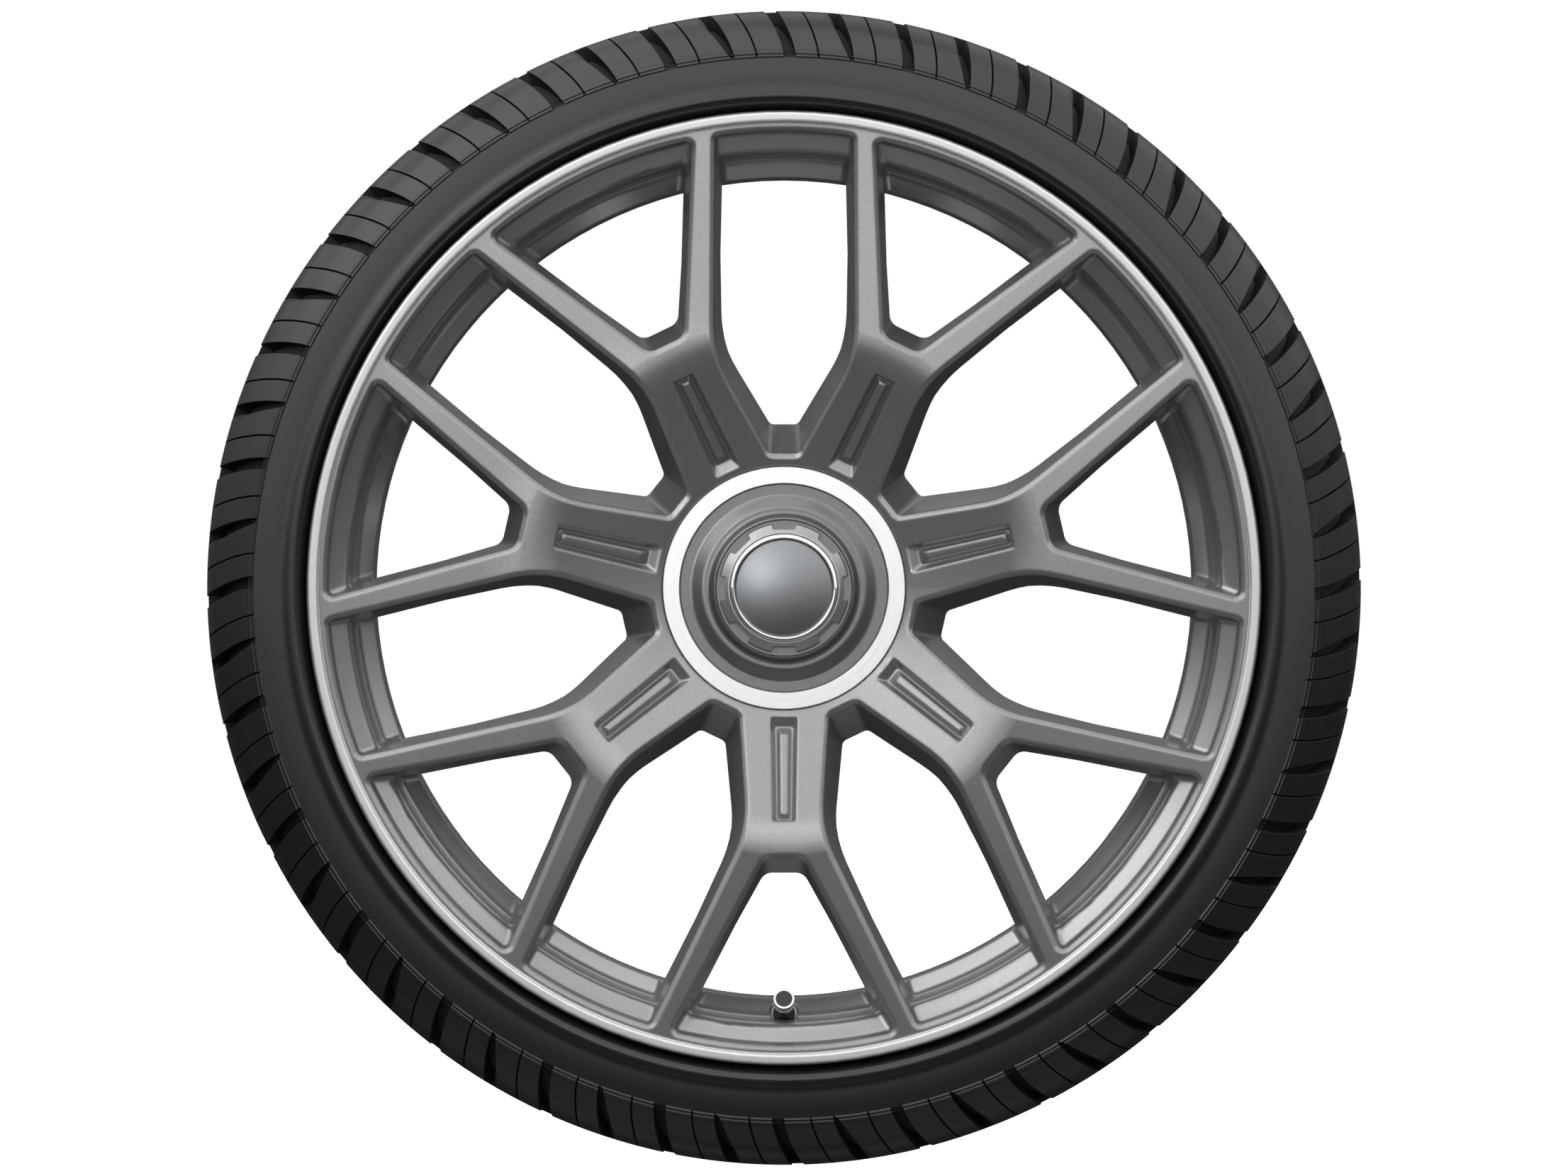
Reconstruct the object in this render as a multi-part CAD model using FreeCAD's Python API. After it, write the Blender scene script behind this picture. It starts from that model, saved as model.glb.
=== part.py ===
import FreeCAD, Part
import math
import os

os.makedirs("parts", exist_ok=True)
V = FreeCAD.Vector

# Frame while building: x right, y up, z out of the face side, wheel axis on z, rim centre plane at z = 0

# Rim size, 21 inch with 9.5 inch between the flanges
inch = 25.4
seat_r = 538.2 / 2
flange_r = seat_r + 17.5
rim_half = 9.5 * inch / 2
flange_w = 13.6
flange_dish = 0.1
front_z = rim_half + flange_w
back_z = -rim_half - 11.0
seat_cone = math.tan(math.radians(5))
hump_r = seat_r - 0.4
seat_w = 20.5
heel = 3.5
well_r = 252.7
well_back_z = 38.0
well_wall = 4.4
barrel_wall = 5.0

# Hub, five bolts on 112 mm, 66.6 mm centre bore, 30 mm offset
bore_r = 66.6 / 2
bore_lead = 2.0
pad_z = 30.0
pad_r = 75.0
bolt_circle_r = 112.0 / 2
bolt_count = 5
bolt_hole_r = 7.5
ball_seat_r = 14.0
bolt_land = 16.0
recess_r = 70.6
cap_seat_depth = 5.0
recess_z = 56.0

# Seven spokes, each a stem that forks into two arms
spokes = 7
pitch = 360.0 / spokes
crest_z = front_z + 2.6
crest_r = 148.0
crest_bend = 60.0
stem_fall = math.tan(math.radians(20))
arm_fall = math.tan(math.radians(2.5))
paint_edge_r = 279.2
arm_depth = 37.0
arm_back_r = 205.0
root_depth = 45.0
hub_back_depth = 72.0
hub_back_r = 100.0
edge_bevel = 2.4

# Long windows between two stems, cut from behind the hub to beyond the rim
window_reach = 300.0
window_back_z = 28.0
window_over = 9.0
side_half = 41.7
side_z = crest_z - 8
side_draft = 0.117
stem_half = 25.1
stem_z = crest_z - 16
stem_draft = 0.187
hub_end_r = 81.4
hub_end_z = crest_z - 28
hub_end_draft = 0.40
knee_r = 85.0
hub_corner_r = 5.0

# Short windows in the fork
fork_end_v = 163.3
fork_z = crest_z - 7
fork_end_draft = 0.25
fork_angle = math.radians(28.4)
fork_half = 31.3
fork_half_v = 200.0
fork_draft = 0.13
fork_corner_r = 8.0
rim_corner_r = 3.5
lip_bend = 5.0

# Slot on each stem with a rounded rib on its floor
slot_out = 140.0
slot_in = 77.4
slot_half_out = 7.3
slot_half_in = 8.3
slot_depth = 4.6
slot_wall = 2.9
slot_ramp = 5.0
slot_end_wall = 2.0
rib_half = 4.3
rib_rise = 3.2

# Visible inside of the barrel: lip wall, first band, steep wall, second band, well
lip_r = 274.4
band1_z = front_z - 8.4
band1_slope = math.tan(math.radians(31))
steep_r = 261.8
band2_r = 259.6
band2_z = 94.2
band2_slope = math.tan(math.radians(38))

# Valve, its axis leans to the wheel axis
valve_lean = 20.0
valve_r = 257.3
valve_z = 89.0
valve_hole_r = 5.75
valve_pocket_r = 8.3
valve_seat_r = 9.5
ledge_slope = math.tan(math.radians(valve_lean))
ledge_top_r = 266.0
ledge_top_z = 84.6

# Tyre 275/30 R21, 28 tread pitches a turn
bead_gap = 0.3
tread_r = 349.5
tyre_half = 138.0
tread_wall = 15.0
tread_pitches = 28
shoulder_slot = 1.0
ring_groove_z = (21.0, 64.0)
ring_groove_half = 4.6
ring_groove_depth = 7.0

# Hub cap: dish, trim ring, eight-lobed nut, bezel, domed badge and a wire ring
cap_gap = 0.3
trim_out_r = 73.2
trim_in_r = 62.8
trim_thick = 3.2
dish_wall = 2.6
dish_step_r = 55.3
terrace_r = 47.0
nut_floor_r = 41.3
lobe_r = 39.4
notch_r = 35.1
nut_in_r = 32.7
nut_rise = 5.4
lobes = 8
notch_half = 6.5
bezel_r = 32.4
badge_r = 28.8
skirt_wall = 3.4
skirt_length = 16.0
wire_r = 1.0
wire_fit = 0.1
wire_turn = 350.0
trim_edge = 0.5
trim_lift = 2.2
flat_rise = 1.4
terrace_rise = 4.0
floor_rise = 4.5
badge_rise = 3.0
badge_proud = 2.4

# Valve pieces
stem_r = 3.85
stem_bore_r = 2.4
valve_reach = 30.0
grommet_flange = 3.0
stem_flange = 2.6
washer_r = 6.7
washer_thick = 1.5
nut_r = 6.1
nut_height = 6.5
hex_r = 5.9
cap_r = 6.25
cap_length = 13.4
cap_fit = 0.1
cap_seal = 0.8
flute_r = 0.4
flute_count = 36
inlay_r = 5.0
inlay_thick = 0.9
core_r = 2.25
core_length = 14.0
pin_r = 0.8
pin_gap = 0.1
air_bore_r = 1.2
sensor_length = 38.0
sensor_width = 26.0
sensor_height = 13.0
sensor_screw_r = 2.0
sensor_screw_head_r = 3.6
sensor_screw_reach = 5.5
sensor_clear = 2.5
ear_r = 7.0
ear_thick = 3.2


def loop(points, put):
    """Closed wire through corner points, a third value rounds that corner."""
    count = len(points)
    starts = []
    ends = []
    mids = []
    for i in range(count):
        here = V(points[i][0], points[i][1], 0)
        start = here
        end = here
        mid = None
        if len(points[i]) == 3:
            before = points[i - 1]
            after = points[(i + 1) % count]
            u = (V(before[0], before[1], 0) - here).normalize()
            w = (V(after[0], after[1], 0) - here).normalize()
            half = u.getAngle(w) / 2
            inward = (u + w).normalize()
            start = here + u * (points[i][2] / math.tan(half))
            end = here + w * (points[i][2] / math.tan(half))
            mid = here + inward * (points[i][2] / math.sin(half) - points[i][2])
        starts.append(start)
        ends.append(end)
        mids.append(mid)
    edges = []
    for i in range(count):
        if mids[i] is not None:
            edges.append(Part.Arc(put(starts[i]), put(mids[i]), put(ends[i])).toShape())
        following = starts[(i + 1) % count]
        if ends[i].distanceToPoint(following) > 0.0001:
            edges.append(Part.makeLine(put(ends[i]), put(following)))
    return Part.Wire(edges)


def turned(points, angle=360):
    """Solid turned about the z axis from a section of radius and height."""
    face = Part.Face(loop(points, lambda p: V(p.x, 0, p.y)))
    return face.revolve(V(0, 0, 0), V(0, 0, 1), angle)


def flat_loop(points, z):
    return loop(points, lambda p: V(p.x, p.y, z))


def ring(shape, count, first=0.0):
    """Copies of a shape spaced evenly about the wheel axis."""
    copies = []
    for i in range(count):
        one = shape.copy()
        one.rotate(V(0, 0, 0), V(0, 0, 1), first + i * 360.0 / count)
        copies.append(one)
    return copies


def save(name, shape):
    """Turn the wheel axis from z to -y and write the node."""
    placed = shape.copy()
    placed.rotate(V(0, 0, 0), V(1, 0, 0), 90)
    placed.exportStep("parts/%s.step" % name)


def stem_face(r):
    return crest_z - (crest_r - r) * stem_fall


def arm_face(r):
    return crest_z - (r - crest_r) * arm_fall


def band2(r):
    return band2_z - (band2_r - r) * band2_slope


def ledge(r):
    return ledge_top_z - (ledge_top_r - r) * ledge_slope


# Forged wheel: turned section of hub, disc and barrel
cap_seat_r = recess_r + 3.1
cap_seat_z = stem_face(cap_seat_r) - cap_seat_depth
well_in = well_r - well_wall
seat_in_z = rim_half - seat_w
seat_in_r = seat_r - seat_w * seat_cone
barrel_r = well_r + 9.8
wheel_section = [
    (bore_r, pad_z + bore_lead),
    (bore_r, recess_z),
    (recess_r, recess_z),
    (recess_r, cap_seat_z),
    (cap_seat_r, cap_seat_z),
    (cap_seat_r, stem_face(cap_seat_r)),
    (crest_r, crest_z, crest_bend),
    (paint_edge_r, arm_face(paint_edge_r)),
    (paint_edge_r + 0.8, arm_face(paint_edge_r) - 0.6),
    (paint_edge_r + 1.0, front_z - flange_dish),
    (flange_r - 1.2, front_z),
    (flange_r, front_z - 2.6, 1.6),
    (flange_r, rim_half + 5, 2.2),
    (flange_r - 4.1, rim_half),
    (seat_r + heel, rim_half),
    (seat_r, rim_half - heel),
    (seat_in_r, seat_in_z),
    (hump_r, seat_in_z - 4),
    (hump_r - 0.9, seat_in_z - 10),
    (ledge_top_r, ledge_top_z),
    (well_r, ledge(well_r)),
    (well_r, well_back_z),
    (barrel_r, well_back_z - 16),
    (barrel_r, 12 - seat_in_z),
    (hump_r, 4 - seat_in_z),
    (seat_in_r, -seat_in_z),
    (seat_r, heel - rim_half),
    (seat_r + heel, -rim_half),
    (flange_r - 4.1, -rim_half),
    (flange_r, -rim_half - 5, 2.2),
    (flange_r, back_z + 2.6, 1.6),
    (flange_r - 2.5, back_z),
    (seat_r + 1, back_z + 1.5),
    (barrel_r - 1, back_z + 19),
    (barrel_r - barrel_wall, 6 - seat_in_z),
    (barrel_r - barrel_wall, well_back_z - 18),
    (well_in, well_back_z - 2),
    (well_in, crest_z - root_depth),
    (arm_back_r, crest_z - arm_depth),
    (crest_r, crest_z - root_depth),
    (hub_back_r, crest_z - hub_back_depth),
    (pad_r + 4, pad_z + 1.5),
    (pad_r, pad_z),
    (bore_r + bore_lead, pad_z),
]
wheel = turned(wheel_section)

# Space inside the barrel that the windows open into
inside = turned([
    (0, window_back_z - 8),
    (hub_back_r + 10, window_back_z - 8),
    (arm_back_r, 60),
    (well_in - 15, band2(well_in - 2) - 2),
    (well_in - 2, band2(well_in - 2)),
    (band2_r, band2_z, 9),
    (steep_r, band1_z - (lip_r - steep_r) * band1_slope, 8),
    (lip_r, band1_z, lip_bend),
    (lip_r, crest_z + window_over + 1),
    (0, crest_z + window_over + 1),
])


def long_window(z):
    """Outline of a window between two stems at one height."""
    lean = math.radians(pitch / 2)
    half = side_half + (z - side_z) * side_draft
    stem = stem_half + (stem_z - z) * stem_draft
    end = hub_end_r + (hub_end_z - z) * hub_end_draft
    along_end = (end - stem * math.sin(lean)) / math.cos(lean)
    end_half = along_end * math.sin(lean) - stem * math.cos(lean)
    along_knee = (half + stem * math.cos(lean)) / math.sin(lean)
    knee = along_knee * math.cos(lean) + stem * math.sin(lean)
    return flat_loop([
        (-half, window_reach),
        (-half, knee, knee_r),
        (-end_half, end, hub_corner_r),
        (end_half, end, hub_corner_r),
        (half, knee, knee_r),
        (half, window_reach),
    ], z)


def fork_window(z):
    """Outline of a window between the two arms of one spoke at one height."""
    end = fork_end_v + (fork_z - z) * fork_end_draft
    half = fork_half - (fork_z - z) * fork_draft
    end_half = half + (end - fork_half_v) * math.tan(fork_angle)
    rim_half_width = half + (window_reach - fork_half_v) * math.tan(fork_angle)
    return flat_loop([
        (-rim_half_width, window_reach),
        (-end_half, end, fork_corner_r),
        (end_half, end, fork_corner_r),
        (rim_half_width, window_reach),
    ], z)


def window_cut(outline):
    """Drafted cut bounded by the barrel, its two rim corners rounded."""
    walls = Part.makeLoft([outline(window_back_z), outline(crest_z + window_over)], True, True)
    cut = walls.common(inside)
    corners = []
    for edge in cut.Edges:
        a = edge.Vertexes[0].Point
        b = edge.Vertexes[-1].Point
        at_rim = min(math.hypot(a.x, a.y), math.hypot(b.x, b.y)) > well_in - 2.5
        if at_rim and abs(a.z - b.z) > 0.05:
            corners.append(edge)
    return cut.makeFillet(rim_corner_r, corners)


def front_edges(shape):
    """Edges where the window walls meet the front face."""
    found = []
    for edge in shape.Edges:
        mid = edge.valueAt((edge.FirstParameter + edge.LastParameter) / 2)
        r = math.hypot(mid.x, mid.y)
        face_z = stem_face(r) if r < crest_r else arm_face(r)
        if abs(mid.z - face_z) < 1.4 and cap_seat_r + 3 < r < lip_r + 0.5:
            found.append(edge)
    return found


long_cut = window_cut(long_window)
fork_cut = window_cut(fork_window)
wheel = wheel.cut(ring(long_cut, spokes) + ring(fork_cut, spokes, pitch / 2)).Solids[0]
wheel = wheel.makeChamfer(edge_bevel, front_edges(wheel)).Solids[0]

# Slot on a stem, drawn on the sloping stem face
slot_lean = math.atan(stem_fall)
slot_mid = (slot_in + slot_out) / 2
slot_length = (slot_out - slot_in) / math.cos(slot_lean)


def on_stem(across, along, depth):
    """Point from its place on the stem face, depth counted into the metal."""
    y = slot_mid + along * math.cos(slot_lean) + depth * math.sin(slot_lean)
    z = stem_face(slot_mid) + along * math.sin(slot_lean) - depth * math.cos(slot_lean)
    return V(across, y, z)


def slot_loop(depth, half_in, half_out, start, end, corner):
    points = [
        (-half_in, start, corner),
        (-half_out, end, corner),
        (half_out, end, corner),
        (half_in, start, corner),
    ]
    return loop(points, lambda p: on_stem(p.x, p.y, depth))


def slot_level(depth):
    part = depth / slot_depth
    return slot_loop(
        depth,
        slot_half_in - slot_wall * part,
        slot_half_out - slot_wall * part,
        -slot_length / 2 + slot_ramp * part,
        slot_length / 2 - slot_end_wall * part,
        1.5,
    )


rib_start = -slot_length / 2 + slot_ramp
rib_end = slot_length / 2 - slot_end_wall
rib_foot = slot_loop(slot_depth + 0.5, rib_half + 0.6, rib_half + 0.2, rib_start - 0.5, rib_end, 1.2)
rib_top = slot_loop(slot_depth - rib_rise, rib_half - 2.2, rib_half - 2.6, rib_start + 6, rib_end - 3, 1.2)
rib = Part.makeLoft([rib_foot, rib_top], True, True)
pocket = Part.makeLoft([slot_level(slot_depth), slot_level(-3.0)], True, True)
slot_cut = pocket.cut(rib)

# Bolt holes with ball seats
seat_ball_z = pad_z + bolt_land + math.sqrt(ball_seat_r ** 2 - bolt_hole_r ** 2)
bolt_cut = Part.makeCylinder(bolt_hole_r, bolt_land + 6, V(0, bolt_circle_r, pad_z - 2))
bolt_cut = bolt_cut.fuse(Part.makeSphere(ball_seat_r, V(0, bolt_circle_r, seat_ball_z)))

# Valve hole with a flat pocket on the face side and a flat seat on the tyre side
lean = math.radians(valve_lean)
valve_foot = V(0, -valve_r, valve_z)
valve_axis = V(0, math.sin(lean), math.cos(lean))
valve_wall = (valve_z - ledge(valve_r)) * math.cos(lean) - 0.4


def valve_tube(outer, start, end, inner=0.0):
    """Round piece on the valve axis, lengths counted outwards from the pocket floor."""
    solid = Part.makeCylinder(outer, end - start, valve_foot + valve_axis * start, valve_axis)
    if inner > 0:
        solid = solid.cut(Part.makeCylinder(inner, end - start, valve_foot + valve_axis * start, valve_axis))
    return solid


valve_cuts = [
    valve_tube(valve_pocket_r, 0, 14),
    valve_tube(valve_hole_r, -valve_wall - 4, 1),
    valve_tube(valve_seat_r, -valve_wall - 5, -valve_wall),
]
wheel = wheel.cut(ring(slot_cut, spokes, pitch / 2) + ring(bolt_cut, bolt_count) + valve_cuts).Solids[0]
save("forged_wheel", wheel)


def mirrored(points):
    """The same corners on the back side, in the opposite order."""
    return [(p[0], -p[1]) + tuple(p[2:]) for p in reversed(points)]


# Tyre: hollow turned section, seated on the rim with a small gap
toe_z = seat_in_z + 2
toe_r = seat_r - (rim_half - toe_z) * seat_cone + bead_gap
tyre_outside = [
    (toe_r, toe_z),
    (seat_r + bead_gap, rim_half - heel - bead_gap),
    (seat_r + heel + bead_gap, rim_half - bead_gap),
    (flange_r - 3.7, rim_half - bead_gap),
    (flange_r + 1.2, rim_half + 5.5),
    (flange_r + 3.6, tyre_half - 5),
    (flange_r + 6.0, tyre_half - 1.0, 2.5),
    (flange_r + 12.4, tyre_half - 0.6),
    (flange_r + 13.1, tyre_half - 1.6),
    (flange_r + 21, tyre_half + 0.6, 30),
    (flange_r + 36, tyre_half - 5.6),
    (flange_r + 37, tyre_half - 6.6),
    (flange_r + 45, tyre_half - 11.4, 8),
    (tread_r - 5.5, tyre_half - 21, 14),
    (tread_r, tyre_half - 62, 200),
]
tyre_inside = [
    (tread_r - tread_wall, tyre_half - 42, 20),
    (flange_r + 34, tyre_half - 17),
    (flange_r + 20, tyre_half - 10, 20),
    (flange_r + 2, tyre_half - 18),
    (seat_r + 9, toe_z + 2),
]
tyre = turned(tyre_outside + mirrored(tyre_outside) + mirrored(tyre_inside) + tyre_inside)
tread_cuts = []
for z in ring_groove_z:
    for side in (-1, 1):
        tread_cuts.append(turned([
            (tread_r - ring_groove_depth, side * z - ring_groove_half + 1),
            (tread_r + 5, side * z - ring_groove_half),
            (tread_r + 5, side * z + ring_groove_half),
            (tread_r - ring_groove_depth, side * z + ring_groove_half - 1),
        ]))
shoulder = [
    (tread_r + 8, ring_groove_z[1]),
    (tread_r + 8, tyre_half + 5),
    (flange_r + 38, tyre_half + 5),
    (flange_r + 38, tyre_half - 7.5),
    (flange_r + 46, tyre_half - 18),
    (tread_r - 10.5, tyre_half - 26),
    (tread_r - ring_groove_depth, tyre_half - 50),
    (tread_r - ring_groove_depth, ring_groove_z[1]),
]
front_slot = turned(shoulder, shoulder_slot)
back_slot = turned(mirrored(shoulder), shoulder_slot)
tread_cuts += ring(front_slot, tread_pitches)
tread_cuts += ring(back_slot, tread_pitches, 180.0 / tread_pitches)
save("tyre", tyre.cut(tread_cuts).Solids[0])

# Hub cap dish: rests on the ledge of the hub recess, skirt inside the recess
trim_z = cap_seat_z + trim_lift
flat_z = trim_z + flat_rise
terrace_z = flat_z + terrace_rise
nut_z = terrace_z + floor_rise
skirt_r = recess_r - cap_gap
skirt_in_r = skirt_r - skirt_wall
skirt_z = cap_seat_z - skirt_length
dish = turned([
    (0, nut_z),
    (0, nut_z - dish_wall),
    (nut_floor_r - 1, nut_z - dish_wall),
    (terrace_r - 1, terrace_z - dish_wall),
    (dish_step_r, flat_z - dish_wall),
    (skirt_in_r, cap_seat_z),
    (skirt_in_r, skirt_z),
    (skirt_r, skirt_z),
    (skirt_r, cap_seat_z),
    (trim_out_r, cap_seat_z),
    (trim_out_r, trim_z),
    (trim_in_r - cap_gap, trim_z),
    (trim_in_r - cap_gap, flat_z),
    (dish_step_r, flat_z, 4),
    (terrace_r + 2.5, terrace_z, 4),
    (terrace_r - 2, terrace_z, 2),
    (nut_floor_r + 1, nut_z + 0.8, 2.5),
    (nut_floor_r, nut_z + 0.8),
    (nut_floor_r, nut_z),
])
wire_depth = 2 * wire_r + wire_fit
wire_z = cap_seat_z - skirt_length / 2
wire_groove = turned([
    (skirt_r - wire_depth, wire_z - wire_r - wire_fit),
    (skirt_r + 1, wire_z - wire_r - wire_fit),
    (skirt_r + 1, wire_z + wire_r + wire_fit),
    (skirt_r - wire_depth, wire_z + wire_r + wire_fit),
])
save("hub_cap_dish", dish.cut(wire_groove))

wire_centre = V(skirt_r - wire_r - wire_fit / 2, 0, wire_z)
wire_face = Part.Face(Part.Wire(Part.makeCircle(wire_r, wire_centre, V(0, 1, 0))))
save("hub_cap_wire", wire_face.revolve(V(0, 0, 0), V(0, 0, 1), wire_turn))

save("hub_cap_trim", turned([
    (trim_in_r, trim_z),
    (trim_out_r, trim_z),
    (trim_out_r, trim_z + trim_thick - trim_edge),
    (trim_out_r - trim_edge, trim_z + trim_thick),
    (trim_in_r + trim_edge, trim_z + trim_thick),
    (trim_in_r, trim_z + trim_thick - trim_edge),
]))

# Lobed nut, a cone with eight notches
nut_top = nut_z + nut_rise
nut = turned([
    (nut_in_r, nut_z),
    (lobe_r, nut_z),
    (lobe_r, nut_z + 1.0),
    (lobe_r - 0.9, nut_z + 2.4, 0.9),
    (nut_in_r + 0.8, nut_top, 0.9),
    (nut_in_r, nut_top),
])
notch = Part.Face(flat_loop([
    (-notch_half, notch_r),
    (notch_half, notch_r),
    (notch_half + 2.2, lobe_r + 2),
    (-notch_half - 2.2, lobe_r + 2),
], nut_z - 1)).extrude(V(0, 0, nut_rise + 2))
save("hub_cap_nut", nut.cut(ring(notch, lobes)).Solids[0])

bezel_in_r = badge_r + cap_gap
save("hub_cap_bezel", turned([
    (bezel_in_r, nut_z),
    (bezel_r, nut_z),
    (bezel_r, nut_top + 1.4, 1.2),
    (bezel_in_r + 1.0, nut_top + 1.9, 0.8),
    (bezel_in_r, nut_top + 0.6),
]))

badge_top = nut_top + badge_proud
badge_ball = (badge_r ** 2 + badge_rise ** 2) / (2 * badge_rise)
badge = Part.makeCylinder(badge_r, badge_top - nut_z, V(0, 0, nut_z))
badge = badge.common(Part.makeSphere(badge_ball, V(0, 0, badge_top - badge_ball)))
badge = badge.cut(Part.makeCylinder(badge_r - 2.5, badge_top - nut_z - 6, V(0, 0, nut_z)))
save("hub_cap_badge", badge.Solids[0])

# Valve: grommet, stem, washer and clamp nut
grommet_end = -valve_wall - grommet_flange
foot_end = grommet_end - stem_flange
stem_top = valve_reach - 3.5
grommet = valve_tube(valve_seat_r - 0.6, grommet_end, -valve_wall, stem_r)
grommet = grommet.fuse(valve_tube(valve_hole_r, -valve_wall, -0.6, stem_r)).removeSplitter()
save("valve_grommet", grommet)

core_foot = stem_top - 0.6 - core_length
stem = valve_tube(stem_r, foot_end, stem_top)
stem = stem.fuse(valve_tube(valve_seat_r - 1.5, foot_end, grommet_end)).removeSplitter()
stem = stem.cut(valve_tube(stem_bore_r, core_foot - 5, stem_top))
stem = stem.cut(valve_tube(air_bore_r, foot_end, stem_top))
stem = stem.cut(valve_tube(sensor_screw_r, foot_end, foot_end + sensor_screw_reach + 1))
save("valve_stem", stem)

save("valve_washer", valve_tube(washer_r, 0, washer_thick, stem_r + 0.2))

nut_hex_start = washer_thick + nut_height * 0.5
hexagon = Part.makePolygon([
    V(hex_r * math.cos(math.radians(60 * i)), hex_r * math.sin(math.radians(60 * i)), 0) for i in range(7)
])
hex_block = Part.Face(Part.Wire(hexagon)).extrude(V(0, 0, nut_height * 0.5))
hex_block.rotate(V(0, 0, 0), V(1, 0, 0), -valve_lean)
hex_block.translate(valve_foot + valve_axis * nut_hex_start)
clamp_nut = valve_tube(nut_r, washer_thick, nut_hex_start).fuse(hex_block)
clamp_nut = clamp_nut.cut(valve_tube(stem_r, washer_thick - 1, washer_thick + nut_height + 1))
save("valve_nut", clamp_nut.Solids[0])

# Valve core: body screwed in the stem, pin free to slide in it
core = valve_tube(core_r, core_foot, stem_top - 0.6, pin_r + pin_gap)
save("valve_core", core)
pin = valve_tube(pin_r, core_foot - 1.8, stem_top - 0.3)
pin = pin.fuse(valve_tube(core_r - 0.5, core_foot - 1.8, core_foot - pin_gap)).removeSplitter()
save("valve_core_pin", pin)

# Valve cap with its seal and face inlay
cap_start = valve_reach - cap_length
cap_skirt_end = cap_start + 4.0
cavity_top = stem_top + cap_seal + cap_fit
cap = valve_tube(cap_r - 1.1, cap_start, cap_skirt_end).fuse(valve_tube(cap_r, cap_skirt_end, valve_reach))
cap = cap.removeSplitter()
cap = cap.cut(valve_tube(stem_r + cap_fit, cap_start, cavity_top))
cap = cap.cut(valve_tube(inlay_r, valve_reach - inlay_thick, valve_reach))
flute = Part.makeCylinder(flute_r, valve_reach - cap_skirt_end - 2.2, V(0, cap_r + 0.15, 0), V(0, 0, 1))
flutes = ring(flute, flute_count)
for one in flutes:
    one.rotate(V(0, 0, 0), V(1, 0, 0), -valve_lean)
    one.translate(valve_foot + valve_axis * (cap_skirt_end + 1.4))
save("valve_cap", cap.cut(flutes).Solids[0])
save("valve_cap_inlay", valve_tube(inlay_r, valve_reach - inlay_thick, valve_reach - 0.15))
save("valve_cap_seal", valve_tube(stem_r, cavity_top - cap_seal, cavity_top))

# Pressure sensor inside the tyre, screwed to the foot of the valve stem
ear_end = foot_end - ear_thick
sensor_top_z = valve_foot.z + valve_axis.z * foot_end - 4.0
sensor = Part.makeBox(
    sensor_width, sensor_height, sensor_length,
    V(-sensor_width / 2, -well_r - sensor_clear - sensor_height, sensor_top_z - sensor_length),
)
sensor = sensor.makeFillet(3.0, [e for e in sensor.Edges if abs(e.tangentAt(0).z) > 0.9])
sensor = sensor.fuse(valve_tube(ear_r, ear_end, foot_end)).removeSplitter()
sensor = sensor.cut(valve_tube(sensor_screw_head_r + 0.8, ear_end - 30, ear_end))
sensor = sensor.cut(valve_tube(sensor_screw_r + 0.2, ear_end - 1, foot_end + 1))
save("pressure_sensor", sensor.Solids[0])
screw = valve_tube(sensor_screw_r, ear_end, foot_end + sensor_screw_reach)
screw = screw.fuse(valve_tube(sensor_screw_head_r, ear_end - 2.6, ear_end)).removeSplitter()
save("pressure_sensor_screw", screw.cut(valve_tube(0.7, ear_end - 3, foot_end + sensor_screw_reach + 1)))
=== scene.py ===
import math

import bmesh
import bpy
from mathutils import Matrix, Vector


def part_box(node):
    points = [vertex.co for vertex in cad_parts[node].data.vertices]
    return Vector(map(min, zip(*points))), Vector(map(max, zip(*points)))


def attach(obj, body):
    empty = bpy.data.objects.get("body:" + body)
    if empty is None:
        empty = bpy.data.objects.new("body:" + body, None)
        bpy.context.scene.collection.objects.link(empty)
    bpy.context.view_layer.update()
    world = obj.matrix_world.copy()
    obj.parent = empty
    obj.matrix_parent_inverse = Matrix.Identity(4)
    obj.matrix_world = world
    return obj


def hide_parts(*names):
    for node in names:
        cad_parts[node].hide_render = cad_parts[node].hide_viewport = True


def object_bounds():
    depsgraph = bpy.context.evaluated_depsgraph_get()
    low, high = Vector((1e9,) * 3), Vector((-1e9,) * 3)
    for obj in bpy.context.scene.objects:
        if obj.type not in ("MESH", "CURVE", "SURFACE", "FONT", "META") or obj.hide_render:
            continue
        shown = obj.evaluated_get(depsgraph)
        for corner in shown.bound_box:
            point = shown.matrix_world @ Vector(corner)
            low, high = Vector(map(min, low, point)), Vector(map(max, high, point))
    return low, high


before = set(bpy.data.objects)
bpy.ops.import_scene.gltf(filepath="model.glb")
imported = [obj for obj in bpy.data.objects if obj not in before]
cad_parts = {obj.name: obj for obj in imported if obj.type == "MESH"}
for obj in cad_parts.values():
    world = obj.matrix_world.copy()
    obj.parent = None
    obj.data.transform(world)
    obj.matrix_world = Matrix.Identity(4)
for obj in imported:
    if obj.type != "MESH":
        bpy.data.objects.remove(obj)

cad_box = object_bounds()

# Lengths are in metres. Those of the object are written in millimetres times MM, as the CAD has them.
MM = 0.001
AXIS = (0, 1, 0)
CENTRE = (0, 0, 0)

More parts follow.
